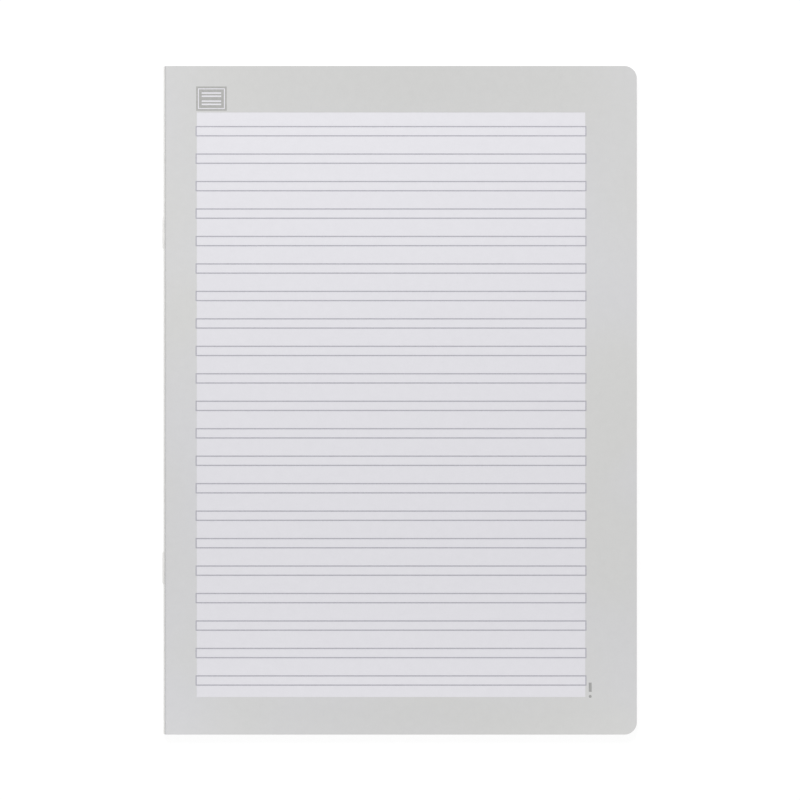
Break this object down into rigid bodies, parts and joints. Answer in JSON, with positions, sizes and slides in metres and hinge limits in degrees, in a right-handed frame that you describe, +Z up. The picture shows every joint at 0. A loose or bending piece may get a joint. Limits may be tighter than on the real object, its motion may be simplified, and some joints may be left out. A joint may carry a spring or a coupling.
{
  "type": "stapled notebook",
  "caption": "Thin stapled notebook folded open at a ruled page, with grey margins, round fore-edge corners and its front cover turned right round behind it.",
  "frame": {"origin": "middle of the book's outline, on the surface that it lies on", "axes": "+X from the spine to the fore-edge, +Y to the head of the page, +Z up out of the ruled page"},
  "size_m": [0.2106, 0.297, 0.0061],
  "materials": {
    "paper": "matte",
    "margin_ink": "matte",
    "rule_ink": "matte",
    "panel_ink": "matte",
    "cover_card": "satin",
    "staple_wire": "satin"
  },
  "bodies": {
    "book": {"page_block": "paper", "margin_tint": "margin_ink", "rule_lines": "rule_ink", "header_panel": "panel_ink", "edge_mark": "panel_ink", "back_cover": "cover_card", "staple_head": "staple_wire", "staple_foot": "staple_wire"},
    "spine": {"spine_strip": "cover_card"},
    "cover": {"front_cover": "cover_card"}
  },
  "joints": [
    {"name": "spine_fold", "type": "hinge", "parent": "book", "child": "spine", "pos_m": [-0.10475, 0, 0.00344], "axis": [0, 1, 0], "range_deg": [0, 180]},
    {"name": "cover_fold", "type": "hinge", "parent": "spine", "child": "cover", "pos_m": [-0.10475, 0, 0.00035], "axis": [0, 1, 0], "range_deg": [0, 180]}
  ]
}
